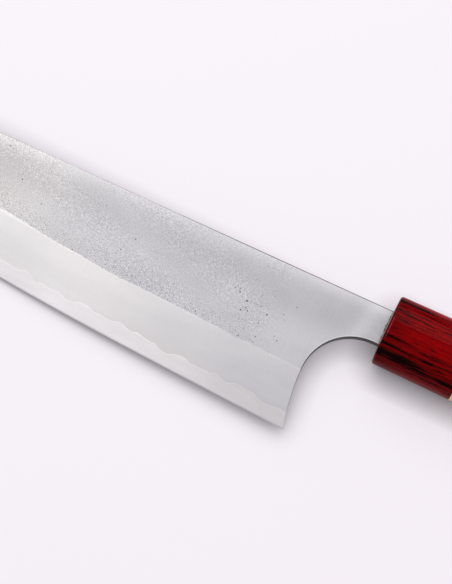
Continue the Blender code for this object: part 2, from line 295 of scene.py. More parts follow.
class Surface:
    """A material whose shader is fed with fields over the knife's X and Y and with textures of its own."""

    def __init__(self, name, textures=None, **constants):
        self.material = bpy.data.materials.new(name)
        self.material.use_nodes = True
        self.tree = self.material.node_tree
        self.shader = self.tree.nodes["Principled BSDF"]
        for socket, value in constants.items():
            feed(self.shader.inputs[socket.replace("_", " ")], value)
        raw = self.tree.nodes.new("ShaderNodeTexCoord")
        into_knife = KNIFE.inverted()
        turn = {"Location": into_knife.translation, "Rotation": into_knife.to_euler()}
        inputs = {"Vector": Field(self.tree, raw.outputs["Object"]), **turn}
        self.place = Field(self.tree, add_node(self.tree, "ShaderNodeMapping", inputs).outputs["Vector"])
        self.x, self.y = self.parts(self.place)[:2]
        self.normal = Field(self.tree, raw.outputs["Normal"])
        self.texture = {kind: self.noise(**lump) for kind, lump in (textures or {}).items()}

    def parts(self, vector):
        node = add_node(self.tree, "ShaderNodeSeparateXYZ", {"Vector": vector})
        return [Field(self.tree, socket) for socket in node.outputs]

    def facing(self, axis):
        """1 where the surface faces along this axis of the knife, -1 where it faces the other way."""
        return self.normal.vector_math("DOT_PRODUCT", KNIFE.col[axis].xyz)

    def over(self, size):
        """The place counted in lumps of this size, which is one length or one for each axis."""
        sizes = size if isinstance(size, tuple) else (size, size, size)
        return self.place.vector_math("DIVIDE", sizes, output="Vector")

    def noise(self, size, detail=2.0, roughness=0.5, warp=0.0):
        """Soft lumps of this size, from -1 to 1 about 0."""
        inputs = {"Vector": self.over(size), "Scale": 1, "Detail": detail, "Roughness": roughness}
        node = add_node(self.tree, "ShaderNodeTexNoise", {**inputs, "Distortion": warp})
        return Field(self.tree, node.outputs["Fac"]) * 2 - 1

    def tone(self, middle=0, **strengths):
        """This middle value, moved up and down by each of these textures as far as its strength."""
        return sum((self.texture[kind] * strength for kind, strength in strengths.items()), middle)

    def dots(self, spacing, share, radius):
        """Dots in random places, 1 in their middle and 0 outside. The share is how many cells have one."""
        inputs = {"Vector": self.over(spacing), "Scale": 1}
        node = add_node(self.tree, "ShaderNodeTexVoronoi", inputs)
        lot = self.parts(Field(self.tree, node.outputs["Color"]))[0]
        near = band(Field(self.tree, node.outputs["Distance"]), radius, radius * DOT_MIDDLE)
        return near * lot.math("LESS_THAN", share)

    def paint(self, **fields):
        """Feeds the shader's sockets."""
        for socket, value in fields.items():
            feed(self.shader.inputs[socket.replace("_", " ")], value)

    def relief(self, height):
        """Bumps of this height in metres."""
        node = add_node(self.tree, "ShaderNodeBump", {"Height": height, "Distance": 1, "Strength": 1})
        feed(self.shader.inputs["Normal"], Field(self.tree, node.outputs["Normal"]))


def choil_x(y):
    """The choil: a quarter circle under the neck, then a wide arc that flares back to the heel."""
    below = CHOIL_CENTRE_Y - y
    if below > 0:
        return CHOIL_FRONT_X + CHOIL_FLARE_RADIUS - sqrt(CHOIL_FLARE_RADIUS ** 2 - below ** 2)
    return -NECK_LENGTH - sqrt(max(CHOIL_RADIUS ** 2 - below ** 2, 0))


HEEL_X = choil_x(HEEL_Y)
BLADE_REACH = HEEL_X - TIP_X


def edge_y(x):
    """The cutting edge, for a number or a field. It rises gently from the heel and sweeps up in the belly."""
    ahead = (HEEL_X - x) / BLADE_REACH
    belly = TIP_Y - HEEL_Y - EDGE_SLOPE * BLADE_REACH
    return HEEL_Y + EDGE_SLOPE * BLADE_REACH * ahead + belly * ahead ** BELLY_POWER


def line_height(x):
    """How far above the edge the cladding ends, along the wavy line that forging leaves."""
    height = LINE_HEIGHT
    for length, swing, start in LINE_WAVES:
        angle = x * (2 * pi / length) + start
        height = height + swing * sine(angle + LINE_SKEW * sine(angle))
    return height


def spine_y(x):
    """The spine is straight, then drops towards the tip."""
    into_drop = positive(TIP_X + SPINE_DROP_LENGTH - x) / SPINE_DROP_LENGTH
    return SPINE_Y - SPINE_DROP * into_drop ** 2


def bevel_width(x):
    """The wide bevel keeps its width until it reaches the spine near the tip."""
    return min(BEVEL_WIDTH, spine_y(x) - edge_y(x))


def flat_half(x, y):
    """Half the thickness of the flat faces above the bevel, which are two planes."""
    spine = SPINE_AT_FERRULE + (SPINE_AT_TIP - SPINE_AT_FERRULE) * x / TIP_X
    return (spine - FLAT_TAPER * (SPINE_Y - y)) / 2


def ground_half(x, above):
    """Half the thickness on the wide bevel, at a height above the edge."""
    thin = EDGE_THICKNESS / 2
    return thin + (flat_half(x, edge_y(x) + bevel_width(x)) - thin) * above / BEVEL_WIDTH


def bevel_half(x, y):
    """Half the thickness below the shinogi line, where the very edge is sharpened thin."""
    above = y - edge_y(x)
    return KEEN_THICKNESS / 2 if above < KEEN_WIDTH / 2 else ground_half(x, above)


def tang_half(x, y):
    """Half the thickness of the tang, thinning from the shoulder to its end."""
    along = (x - SHOULDER_DEPTH) / (TANG_END_X - SHOULDER_DEPTH)
    front = flat_half(SHOULDER_DEPTH, 0)
    return flat_half(SHOULDER_DEPTH, y) + (TANG_END_THICKNESS / 2 - front) * along


def core_half(x):
    """Half the thickness of the core, which meets the bevel along the wavy line."""
    return ground_half(x, line_height(x))


def crossing(low, high, is_past):
    """Finds the place between low and high where a test changes from false to true."""
    for _ in range(HALVINGS):
        middle = (low + high) / 2
        low, high = (low, middle) if is_past(middle) else (middle, high)
    return high


def blade_stations():
    """Places along the blade, closer together where the belly curves up to the tip."""
    run_out = crossing(TIP_X, HEEL_X, lambda x: spine_y(x) - edge_y(x) > BEVEL_WIDTH)
    front = CHOIL_FRONT_X - STATION_MARGIN
    shares = [k / BLADE_STATIONS for k in range(BLADE_STATIONS + 1)]
    places = [front + (TIP_X - front) * sin(pi / 2 * share) for share in shares]
    return sorted(places + [run_out]), run_out


def bevel_heights(top):
    """Heights up the bevel: the edge, the top of the keen strip, even rows and the ridge at the shinogi."""
    ridge = top - RIDGE_WIDTH
    rows = [KEEN_WIDTH + (ridge - KEEN_WIDTH) * k / BEVEL_ROWS for k in range(BEVEL_ROWS + 1)]
    return [0] + rows + [top]


def upper_choil(shinogi_y):
    """The choil from just above the shinogi line to where the straight neck begins."""
    flare = [shinogi_y + (CHOIL_CENTRE_Y - shinogi_y) * k / FLARE_STEPS for k in range(1, FLARE_STEPS)]
    points = [(choil_x(y), y) for y in flare if y > shinogi_y]
    for k in range(ARC_STEPS + 1):
        angle = k * pi / 2 / ARC_STEPS
        y = CHOIL_CENTRE_Y + CHOIL_RADIUS * sin(angle)
        points.append((-NECK_LENGTH - CHOIL_RADIUS * cos(angle), y))
    return points


def blade_side():
    """The side view as faces, each with the rule for its thickness, and the points on the edge."""
    stations, run_out = blade_stations()
    columns = []
    for x in stations:
        columns.append([(x, edge_y(x) + height) for height in bevel_heights(bevel_width(x))])
    shinogi_y = crossing(HEEL_Y, -SPINE_Y, lambda y: y - edge_y(choil_x(y)) > BEVEL_WIDTH)
    heights = bevel_heights(shinogi_y - HEEL_Y)
    columns.append([(choil_x(HEEL_Y + height), HEEL_Y + height) for height in heights])
    faces = []
    for front, rear in zip(columns, columns[1:]):
        for k in range(len(front) - 1):
            faces.append((bevel_half, (front[k], rear[k], rear[k + 1], front[k + 1])))

    steps = ((-1, 2 * SPINE_Y), (-1, TANG_HEIGHT), (1, TANG_HEIGHT), (1, 2 * SPINE_Y))
    shoulder = [(SHOULDER_DEPTH, side * height / 2) for side, height in steps]
    shinogi = [column[-1] for column in columns if column[-1][0] >= run_out]
    spine = [(x, spine_y(x)) for x in reversed(stations) if x > run_out]
    faces.append((flat_half, shinogi + upper_choil(shinogi_y) + shoulder + spine))
    end = [(TANG_END_X, side * TANG_END_HEIGHT / 2) for side in (-1, 1)]
    faces.append((tang_half, (shoulder[1], *end, shoulder[2])))
    return faces, {column[0] for column in columns}


def blade_form():
    """Blade, neck and tang in one closed form, eased along every rim but the cutting edge."""
    faces, edge_points = blade_side()
    mesh = bmesh.new()
    left = {}
    for half, points in faces:
        for x, y in points:
            if (x, y) not in left:
                left[x, y] = mesh.verts.new((x, y, half(x, y)))
        mesh.faces.new([left[point] for point in points])
    ease = mesh.edges.layers.float.new("bevel_weight_edge")
    rim = [line for line in mesh.edges if line.is_boundary]
    blunt = {left[point] for point in edge_points}
    twin = {v: mesh.verts.new((v.co.x, v.co.y, -v.co.z)) for v in left.values()}
    for side in list(mesh.faces):
        mesh.faces.new([twin[v] for v in reversed(side.verts)])
    for line in rim:
        start = line.link_loops[0].vert
        end = line.other_vert(start)
        mesh.faces.new((end, start, twin[start], twin[end]))
        weight = min((start.co.z + end.co.z) / SPINE_AT_FERRULE, 1)
        if not blunt.issuperset((start, end)):
            line[ease] = weight
            mesh.edges.get((twin[start], twin[end]))[ease] = weight
    form = add_object("blade_form", mesh)
    eased = form.modifiers.new("eased", "BEVEL")
    eased.limit_method = "WEIGHT"
    eased.width = EASED_EDGE
    eased.segments = EASING_STEPS
    eased.use_clamp_overlap = False
    return form


def box_ring(x, bottom, top, right, left):
    """Four corners of a rectangle across the knife."""
    return [(x, bottom, right), (x, top, right), (x, top, left), (x, bottom, left)]


def centred_ring(x, height, thickness):
    """A rectangle across the knife, centred on the handle's axis."""
    return box_ring(x, -height / 2, height / 2, -thickness / 2, thickness / 2)


def power_ring(x, height, thickness, power, sides):
    """An oval across the knife. Power 2 is an ellipse, and more is squarer."""
    ring = []
    for k in range(sides):
        angle = 2 * pi * k / sides
        y = abs(cos(angle)) ** (2 / power) * (1 if cos(angle) > 0 else -1)
        z = abs(sin(angle)) ** (2 / power) * (1 if sin(angle) > 0 else -1)
        ring.append((x, y * height / 2, z * thickness / 2))
    return ring


def handle_ring(x, inset=0):
    """The handle's oval at x, widening evenly from the ferrule to the butt."""
    along = x / HANDLE_LENGTH
    height = FRONT_HEIGHT + (BUTT_HEIGHT - FRONT_HEIGHT) * along
    thickness = FRONT_THICKNESS + (BUTT_THICKNESS - FRONT_THICKNESS) * along
    return power_ring(x, height - 2 * inset, thickness - 2 * inset, OVAL_POWER, OVAL_SIDES)


def rounded_end(x, radius, direction):
    """Rings that round the handle's end at x over, from the end face inwards."""
    angles = [k * pi / 2 / ROUNDING_STEPS for k in range(ROUNDING_STEPS + 1)]
    return [handle_ring(x + direction * radius * (1 - cos(a)), radius * (1 - sin(a))) for a in angles]


def domed_front():
    """Rings over the ferrule's front, from near the middle of its shallow dome to the end of its rounding."""
    rounding = rounded_end(0, FRONT_ROUNDING, 1)
    dome = []
    for k in range(1, DOME_STEPS):
        share = k / DOME_STEPS
        dome.append([(FRONT_DOME * (share ** 2 - 1), y * share, z * share) for _, y, z in rounding[0]])
    return dome + rounding


def loft(rings, closed=True):
    """A mesh through the rings, which all have as many points. It is capped, or joined end to end."""
    mesh = bmesh.new()
    loops = [[mesh.verts.new(point) for point in ring] for ring in rings]
    pairs = list(zip(loops, loops[1:]))
    if closed:
        mesh.faces.new(loops[0])
        mesh.faces.new(loops[-1][::-1])
    else:
        pairs.append((loops[-1], loops[0]))
    for near, far in pairs:
        for k in range(len(near)):
            mesh.faces.new((near[k - 1], near[k], far[k], far[k - 1]))
    return mesh


def link(name, data):
    """Puts a new object with this data into the scene."""
    made = bpy.data.objects.new(name, data)
    bpy.context.scene.collection.objects.link(made)
    return made


def add_object(name, mesh):
    """Makes an object of the mesh."""
    bmesh.ops.recalc_face_normals(mesh, faces=mesh.faces)
    data = bpy.data.meshes.new(name)
    mesh.to_mesh(data)
    mesh.free()
    return link(name, data)


def combine(target, operation, other):
    """Adds a Boolean with the other form to the target."""
    step = target.modifiers.new(operation.lower() + "_" + other.name, "BOOLEAN")
    step.operation = operation
    step.object = other


def settle(piece, surface):
    """Applies the piece's modifiers, paints it and gives its faces clean soft and sharp edges."""
    data = bpy.data.meshes.new_from_object(piece.evaluated_get(bpy.context.evaluated_depsgraph_get()))
    piece.modifiers.clear()
    piece.data = data
    data.name = piece.name
    data.materials.clear()
    data.materials.append(surface.material)
    data.shade_smooth()
    data.set_sharp_from_angle(angle=SMOOTH_WITHIN)
    weighted = piece.modifiers.new("even_shading", "WEIGHTED_NORMAL")
    weighted.keep_sharp = True
    return piece


def remove(helpers):
    """Removes the forms that only cut other pieces."""
    for helper in helpers:
        bpy.data.objects.remove(helper)


def crease(piece):
    """Keeps the faint lines on the faces crisp, but for the shinogi line, which wear has left soft."""
    mesh = bmesh.new()
    mesh.from_mesh(piece.data)
    for line in mesh.edges:
        level = all(abs(face.normal.z) > cos(LEVEL_WITHIN) for face in line.link_faces)
        heights = [v.co.y - edge_y(v.co.x) for v in line.verts]
        keen, ridge = (all(abs(height - row) < ROW_TOLERANCE for height in heights)
                       for row in (KEEN_WIDTH, BEVEL_WIDTH))
        if (keen or level and not ridge) and line.calc_face_angle(0) > CREASE_ABOVE:
            line.smooth = False
    mesh.to_mesh(piece.data)
    mesh.free()


def blade_layer(name, right, left, surface, form):
    """One layer of the forged billet, from its right face to its left, ground to the blade's form."""
    steps = round((TANG_END_X - TIP_X + 2 * CUT_PAST) / LAYER_STEP)
    places = [TIP_X - CUT_PAST + k * LAYER_STEP for k in range(steps + 1)]
    low, high = HEEL_Y - CUT_PAST, SPINE_Y + CUT_PAST
    layer = add_object(name, loft([box_ring(x, low, high, right(x), left(x)) for x in places]))
    combine(layer, "INTERSECT", form)
    settle(layer, surface)
    crease(layer)
    return layer


def blade_pieces():
    """The hard core, which alone reaches the edge, between two softer claddings."""
    def inner(x):
        return core_half(x) + WELD_LINE

    def outer(x):
        return SPINE_AT_FERRULE + CUT_PAST

    form = blade_form()
    soft = cladding_finish()
    core = blade_layer("core", lambda x: -core_half(x), core_half, core_finish(), form)
    left = blade_layer("left_cladding", inner, outer, soft, form)
    right = blade_layer("right_cladding", lambda x: -outer(x), lambda x: -inner(x), soft, form)
    remove([form])
    dress(core, "core_steel")
    dress(left, "cladding_left")
    dress(right, "cladding_right")


def straight(name, ring, ends):
    """A cutter whose section runs straight between two ends."""
    return add_object(name, loft([ring(x) for x in ends]))


def handle_pieces():
    """The ferrule and the handle body, with the mouth, the bore and the pocket inside them."""
    height = 2 * (SPINE_Y + MOUTH_MARGIN)
    thickness = SPINE_AT_FERRULE + 2 * MOUTH_MARGIN
    bore_width = DOWEL_DIAMETER + 2 * FIT_GAP
    mouth = straight("mouth_cutter", lambda x: centred_ring(x, height, thickness),
                     (-CUT_PAST, SHOULDER_DEPTH + FIT_GAP))
    bore = straight("bore_cutter", lambda x: power_ring(x, bore_width, bore_width, ROUND_POWER, BORE_SIDES),
                    (SHOULDER_DEPTH, DOWEL_REAR + FIT_GAP))
    pocket = straight("pocket_cutter", lambda x: centred_ring(x, POCKET_HEIGHT, POCKET_THICKNESS),
                      (DOWEL_REAR, POCKET_REAR))
    ferrule = add_object("collar", loft(domed_front() + [handle_ring(FERRULE_REAR - WELD_LINE)]))
    butt = rounded_end(HANDLE_LENGTH, BUTT_ROUNDING, -1)
    body = add_object("grip", loft(butt + [handle_ring(FERRULE_REAR + WELD_LINE)]))
    combine(ferrule, "DIFFERENCE", mouth)
    combine(ferrule, "DIFFERENCE", bore)
    combine(body, "DIFFERENCE", bore)
    combine(body, "DIFFERENCE", pocket)
    settle(ferrule, pakkawood())
    settle(body, bare_wood("magnolia_finish", MAGNOLIA_LIGHT, MAGNOLIA_DARK, MAGNOLIA_ROUGHNESS))
    remove([mouth, bore, pocket])
    dress(ferrule, "ferrule")
    dress(body, "handle_body")


def neck_path():
    """Places all round the neck: the middle of each edge's easing, and the way outwards from it."""
    half_height, half_thickness = SPINE_Y - EASED_EDGE, SPINE_AT_FERRULE / 2 - EASED_EDGE
    sides = ((1, 1), (-1, 1), (-1, -1), (1, -1))
    corners = [Vector((side_y * half_height, side_z * half_thickness)) for side_y, side_z in sides]
    path = []
    for quarter, corner in enumerate(corners):
        following = corners[(quarter + 1) % len(corners)]
        for k in range(BEAD_CORNER_STEPS + 1):
            angle = (quarter + k / BEAD_CORNER_STEPS) * pi / 2
            outwards = Vector((cos(angle), sin(angle)))
            path.append((corner, outwards))
        steps = BEAD_SIDE_STEPS[quarter % 2]
        path += [(corner.lerp(following, k / steps), outwards) for k in range(1, steps)]
    return path


def mouth_bead():
    """The filler pressed in round the neck, uneven where it shows at the mouth of the ferrule."""
    rings = []
    for across, along in BEAD_PROFILE:
        margin = WELD_LINE + across * (MOUTH_MARGIN - 2 * WELD_LINE)
        ring = []
        for middle, outwards in neck_path():
            y, z = middle + outwards * (EASED_EDGE + margin)
            front = BEAD_FRONT + BEAD_SWING * lumps(Vector((across, y / BEAD_LUMP, z / BEAD_LUMP)))
            front += BEAD_SINK * (y / SPINE_Y) ** BEAD_SINK_POWER
            ring.append((SEAL_REAR + along * (front - SEAL_REAR), y, z))
        rings.append(ring)
    bead = add_object("mouth_bead", loft(rings, closed=False))
    settle(bead, mouth_filler())
    dress(bead, "mouth_seal")


def dress(piece, node):
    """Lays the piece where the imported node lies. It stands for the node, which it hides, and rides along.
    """
    piece.data.transform(KNIFE)
    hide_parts(node)
    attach(piece, "root")


# How the materials say where they change. A band is a place where it begins, one where it is full, and how
# strong it is there. A hill is its middle, its reach on either side, and how strong it is in the middle. The
# strength is left out where it is 1. ALONG and UP in a name mean places along the knife and up it, and ABOVE
# means a height above the edge or above the wavy line.

# Colours of the steel
SATIN_DARK = (0.635, 0.62, 0.657)
SATIN_WARM = (0.642, 0.628, 0.632)
SATIN_BLUSH = (0.705, 0.667, 0.675)
SATIN_LIGHT = (0.78, 0.752, 0.757)
PEAR_DARK = (0.36, 0.353, 0.376)
PEAR_LIGHT = (0.645, 0.63, 0.65)
PEAR_WARM_DARK = (0.386, 0.365, 0.37)
PEAR_WARM_LIGHT = (0.703, 0.684, 0.69)
CORE_DARK = (0.735, 0.705, 0.728)
CORE_LIGHT = (0.88, 0.854, 0.879)
CREAM_LINE = (0.775, 0.742, 0.72)
CREAM_AT_HEEL = (0.665, 0.622, 0.62)
PIT = (0.09, 0.085, 0.09)
# Painted highlight for the choil's rim
PAINTED_CHOIL_HIGHLIGHT = (0.9, 0.89, 0.9)
# Painted shade for the blade's walls
PAINTED_WALL_SHADE = (0.03, 0.027, 0.025)
# Painted shade for the spine's rim, a dark reflection
PAINTED_SPINE_SHADE = (0.06, 0.048, 0.042)
SPINE_TOP = (0.3, 0.285, 0.28)
FORGE_BLACK = (0.04, 0.036, 0.034)

# Bands of the walls' painted shade, of the spine's painted dark rim, its top and the tang: by how the surface
# faces, by the depth below the spine, and along the knife. The least is what the blade's front keeps of that
# rim.
WALL_FACING = (0.97, 0.8)
SPINE_TOP_FACING = (0.96, 0.99)
SPINE_RIM = (0.36 * MM, 0.2 * MM)
SPINE_RIM_ALONG = (-95 * MM, -45 * MM)
SPINE_RIM_LEAST = 0.15
TANG_ALONG = (3 * MM, 5 * MM)

# The painted highlight of the choil's rim: a hill by the distance from its arc, and a band up it
CHOIL_RIM = (0.3 * MM, 0.35 * MM)
CHOIL_RIM_UP = (CHOIL_CENTRE_Y, CHOIL_CENTRE_Y + 8 * MM, 0.3)

# The band near the heel, and the cream tint's reach from the wavy line and mean strength on either side of it
HEEL_ALONG = (-80 * MM, -35 * MM)
CREAM_REACH = 1.8 * MM
CREAM_ON_CLADDING = 0.02
CREAM_ON_CORE = 0.12


class BladeSurface(Surface):
    """A finish of the blade, which also knows the heights above the edge and the wavy line."""

    def __init__(self, name, textures):
        super().__init__(name, textures, Metallic=1)
        self.above_edge = self.y - edge_y(self.x)
        self.above_line = self.above_edge - line_height(self.x)
        self.near_heel = band(self.x, *HEEL_ALONG)

    def reach(self, x, y):
        """The distance from this place on the blade's left face."""
        return self.place.vector_math("DISTANCE", (x, y, flat_half(x, y)))


def walls(surface, colour):
    """Painted shade on the walls and spine's rim, a painted highlight on the choil's rim, the tang as the
    forge left it.
    """
    level = surface.facing(ACROSS).math("ABSOLUTE")
    # Painted shade along the spine's eased rim, a dark reflection that fades towards the tip
    spine_shade = band(spine_y(surface.x) - surface.y, *SPINE_RIM)
    spine_shade = spine_shade * between(band(surface.x, *SPINE_RIM_ALONG), SPINE_RIM_LEAST, 1)
    outside = surface.reach(-NECK_LENGTH, CHOIL_CENTRE_Y) - CHOIL_RADIUS
    # A painted highlight along the choil's rim
    colour = blend(hill(outside, *CHOIL_RIM) * band(surface.y, *CHOIL_RIM_UP), colour, PAINTED_CHOIL_HIGHLIGHT)
    # Painted shade where the walls turn away from the faces
    colour = blend(band(level, *WALL_FACING), colour, PAINTED_WALL_SHADE)
    colour = blend(spine_shade, colour, PAINTED_SPINE_SHADE)
    colour = blend(band(surface.facing(UP), *SPINE_TOP_FACING), colour, SPINE_TOP)
    return blend(band(surface.x, *TANG_ALONG), colour, FORGE_BLACK)


def cream_tint(surface, colour, reach, middle):
    """The colour with a patchy cream tint on one side of the wavy line, darker by the heel."""
    share = band(surface.above_line, reach, 0) * surface.tone(middle, patches=0.6)
    return blend(share, colour, blend(surface.near_heel, CREAM_LINE, CREAM_AT_HEEL))


# Textures of the claddings. A size is one length, or one along the knife, one up it and one across it
CLADDING_TEXTURES = {
    "brushed": {"size": (0.3 * MM, 9 * MM, 4 * MM), "detail": 3},
    "speckle": {"size": 0.26 * MM, "roughness": 0.8},
    "clouds": {"size": (26 * MM, 11 * MM, 11 * MM), "detail": 3, "roughness": 0.6},
    "haze": {"size": (16 * MM, 4 * MM, 4 * MM), "detail": 3},
    "crumbs": {"size": 1.1 * MM, "detail": 4, "roughness": 0.7},
    "drift": {"size": 9 * MM},
    "patches": {"size": 6 * MM},
}

# The border of the flats: how far crumbs and brushing shift it, how soft it is ahead and by the heel, and the
# hills where it dips and the band where it rises
BORDER_CRUMBS = (0.7 * MM, 0.4 * MM)
BORDER_BRUSHED = 0.5 * MM
BORDER_FRINGE = (0.12 * MM, 0.52 * MM)
BORDER_DIPS = ((-90 * MM, 18 * MM, 0.35 * MM), (-44 * MM, 6 * MM, 0.3 * MM))
BORDER_RISE = (-112 * MM, -130 * MM, 0.7 * MM)

# Broad painted light and shade on the flats, and where the pear skin is smooth, warm or close to the bevel
SPINE_LIGHT_UP = (1 * MM, 7 * MM, 0.42)
LOWER_LIGHT_UP = (-5 * MM, -15 * MM, 0.14)
MIDDLE_SHADE_UP = (-3 * MM, 6 * MM, 0.09)
FRONT_SHADE_ALONG = (-62 * MM, 24 * MM)
FRONT_SHADE_UP = (-2 * MM, 11 * MM, 0.14)
SMOOTH_ALONG = (-42 * MM, -26 * MM)
SMOOTH_DRIFT = 8 * MM
WARM_ALONG = (-95 * MM, -135 * MM)
WARM_DRIFT = 20 * MM
SHINOGI_ABOVE = (BEVEL_WIDTH + 1 * MM, 7 * MM)

# How strong the speckle is away from the shinogi line and on it, and the share kept by rough and smooth steel
SPECKLE_BY_SHINOGI = (2.2, 3.08)
SPECKLE_BY_SMOOTH = (1, 0.25)

# The neck: a lighter lower part, a light band that leans, and grime, shade and specks by the ferrule
LOWER_NECK_UP = (-3 * MM, -17 * MM, 0.2)
NECK_BAND_ALONG = (-6.8 * MM, 5 * MM, 0.26)
NECK_BAND_LEAN = 0.25
MOUTH_GRIME_ALONG = (-4.5 * MM, 0, 1.8)
MOUTH_SHADE_ALONG = (-1.5 * MM, -0.4 * MM, 0.3)
MOUTH_SPECKS = {"spacing": 0.85 * MM, "radius": 0.32}
MOUTH_SPECKS_ALONG = (-5.5 * MM, -0.5 * MM, 0.5)
MOUTH_SPECK_STRENGTH = 0.7

# Random pits: their spacing, their radius in spacings, and how many places have one, far away and close by
CHOIL_PITS = {"spacing": 1.5 * MM, "radius": 0.24}
CHOIL_PITS_ALONG = (-42 * MM, 16 * MM)
CHOIL_PITS_UP = (-15 * MM, 14 * MM)
CHOIL_PITS_SHARE = (0.02, 0.32)
SHINOGI_PITS = {"spacing": 0.7 * MM, "radius": 0.34}
SHINOGI_PITS_SHARE = (0.02, 0.44)
SHINOGI_PIT_STRENGTH = 0.75
PIT_STRENGTH = 0.85

# The largest pits on the left face: their place and radius in millimetres
PITS = ((-45.5, -11.6, 0.45), (-48.9, -9.7, 0.3), (-40.4, -11.2, 0.3), (-43.9, -14.6, 0.35),
        (-37.5, -13, 0.4), (-29.6, -6.4, 0.25), (-32.5, -10.6, 0.25), (-59.4, -22.1, 0.3),
        (-30.8, -19.6, 0.3), (-133, -5.8, 0.3), (-106, -20.8, 0.35), (-32.2, -18.6, 0.25),
        (-37.8, -21.4, 0.25), (-43, -23.3, 0.3), (-38.9, -16.8, 0.25))

# The satin of the bevel: its lights and shades, the shade and the blush above the wavy line, its warmer front
SATIN_LIGHTS_ALONG = ((-92 * MM, 40 * MM, 0.6), (-108 * MM, 12 * MM, 0.12), (-54 * MM, 14 * MM, 0.13))
UPPER_SATIN_ABOVE = (12 * MM, BEVEL_WIDTH, 0.25)
UPPER_SATIN_AT_HEEL = 0.5
UPPER_SATIN_GAP_ALONG = (-84 * MM, 22 * MM, 0.8)
LINE_SHADE_ABOVE = (3 * MM, 0)
LINE_SHADE_ALONG = (-56 * MM, -36 * MM, 0.2)
BLUSH_ABOVE = (6 * MM, 0)
BLUSH_ALONG = (-64 * MM, 34 * MM, 0.6)
WARM_SATIN_ALONG = (-70 * MM, -130 * MM)

# Roughness of the satin, the pear skin and the smooth neck, and the depth of what is too fine for the mesh.
# Smooth steel keeps only a share of the speckle's depth.
SATIN_ROUGHNESS = 0.36
PEAR_ROUGHNESS = 0.49
NECK_ROUGHNESS = 0.41
SPECKLE_DEPTH = 0.008 * MM
SPECKLE_DEPTH_KEPT = 0.1
BRUSHED_DEPTH = 0.001 * MM
PIT_DEPTH = 0.05 * MM


def flat_share(surface):
    """1 on the flats and 0 on the bevel, with the ragged border between them that wear leaves."""
    border = surface.above_edge - band(surface.x, *BORDER_RISE)
    for dip in BORDER_DIPS:
        border = border + hill(surface.x, *dip)
    border = border + surface.texture["crumbs"] * between(surface.near_heel, *BORDER_CRUMBS)
    border = border + surface.texture["brushed"] * surface.near_heel * BORDER_BRUSHED
    fringe = between(surface.near_heel, *BORDER_FRINGE)
    return band(border, BEVEL_WIDTH - fringe, BEVEL_WIDTH + fringe)


def painted_light_and_shade(surface, smooth):
    """Broad painted light and shade on the upper face."""
    # Painted light below the spine and low down, painted shade across the middle and towards the front
    light = band(surface.y, *SPINE_LIGHT_UP) + band(surface.y, *LOWER_LIGHT_UP)
    shade = hill(surface.y, *MIDDLE_SHADE_UP) * (1 - smooth)
    return light - shade - hill(surface.x, *FRONT_SHADE_ALONG) * hill(surface.y, *FRONT_SHADE_UP)


def pear_skin(surface, near_shinogi, smooth, areas):
    """Fine speckle in soft clouds, stronger by the shinogi line and warmer towards the tip."""
    strength = between(near_shinogi, *SPECKLE_BY_SHINOGI) * between(smooth, *SPECKLE_BY_SMOOTH)
    # With the broad painted light and shade of the flats
    share = surface.texture["speckle"] * strength + surface.tone(middle=0.3, clouds=0.3) + areas
    warm = band(surface.x + surface.tone(clouds=WARM_DRIFT), *WARM_ALONG)
    dark = blend(warm, PEAR_DARK, PEAR_WARM_DARK)
    return blend(share, dark, blend(warm, PEAR_LIGHT, PEAR_WARM_LIGHT))


def neck_steel(surface, areas):
    """Smoother steel, with a light band across it and dark specks by the ferrule."""
    x, y = surface.x, surface.y
    # With the broad painted light and shade of the flats
    share = surface.tone(middle=0.25, brushed=0.1, speckle=0.3, clouds=0.2) + areas
    share = share + band(y, *LOWER_NECK_UP) + hill(x - y * NECK_BAND_LEAN, *NECK_BAND_ALONG)
    share = share - band(x, *MOUTH_GRIME_ALONG) * surface.texture["speckle"] - band(x, *MOUTH_SHADE_ALONG)
    specks = surface.dots(share=band(x, *MOUTH_SPECKS_ALONG), **MOUTH_SPECKS)
    return blend(share - specks * MOUTH_SPECK_STRENGTH, PEAR_DARK, PEAR_LIGHT)


def pitting(surface, near_shinogi, smooth):
    """Small random pits by the choil and along the shinogi line, and the larger ones, each in its place."""
    near_choil = hill(surface.x, *CHOIL_PITS_ALONG) * hill(surface.y, *CHOIL_PITS_UP)
    pits = surface.dots(share=between(near_choil, *CHOIL_PITS_SHARE), **CHOIL_PITS)
    finer = surface.dots(share=between(near_shinogi, *SHINOGI_PITS_SHARE), **SHINOGI_PITS)
    pits = pits.math("MAXIMUM", finer * SHINOGI_PIT_STRENGTH) * (1 - smooth)
    for pit_x, pit_y, radius in PITS:
        distance = surface.reach(pit_x * MM, pit_y * MM)
        pits = pits.math("MAXIMUM", band(distance, radius * MM, radius * MM / 2))
    return pits


def satin(surface):
    """Fine satin, in soft lights and shades, with a blush and a cream tint above the wavy line."""
    x = surface.x
    share = surface.tone(middle=0.18, haze=0.3, brushed=0.15)
    for light in SATIN_LIGHTS_ALONG:
        share = share + hill(x, *light)
    upper = band(surface.above_edge, *UPPER_SATIN_ABOVE) * between(surface.near_heel, 1, UPPER_SATIN_AT_HEEL)
    share = share + upper * (1 - hill(x, *UPPER_SATIN_GAP_ALONG))
    share = share - band(surface.above_line, *LINE_SHADE_ABOVE) * band(x, *LINE_SHADE_ALONG)
    colour = blend(share, blend(band(x, *WARM_SATIN_ALONG), SATIN_DARK, SATIN_WARM), SATIN_LIGHT)
    blush = band(surface.above_line, *BLUSH_ABOVE) * hill(x, *BLUSH_ALONG)
    return cream_tint(surface, blend(blush, colour, SATIN_BLUSH), CREAM_REACH, CREAM_ON_CLADDING)


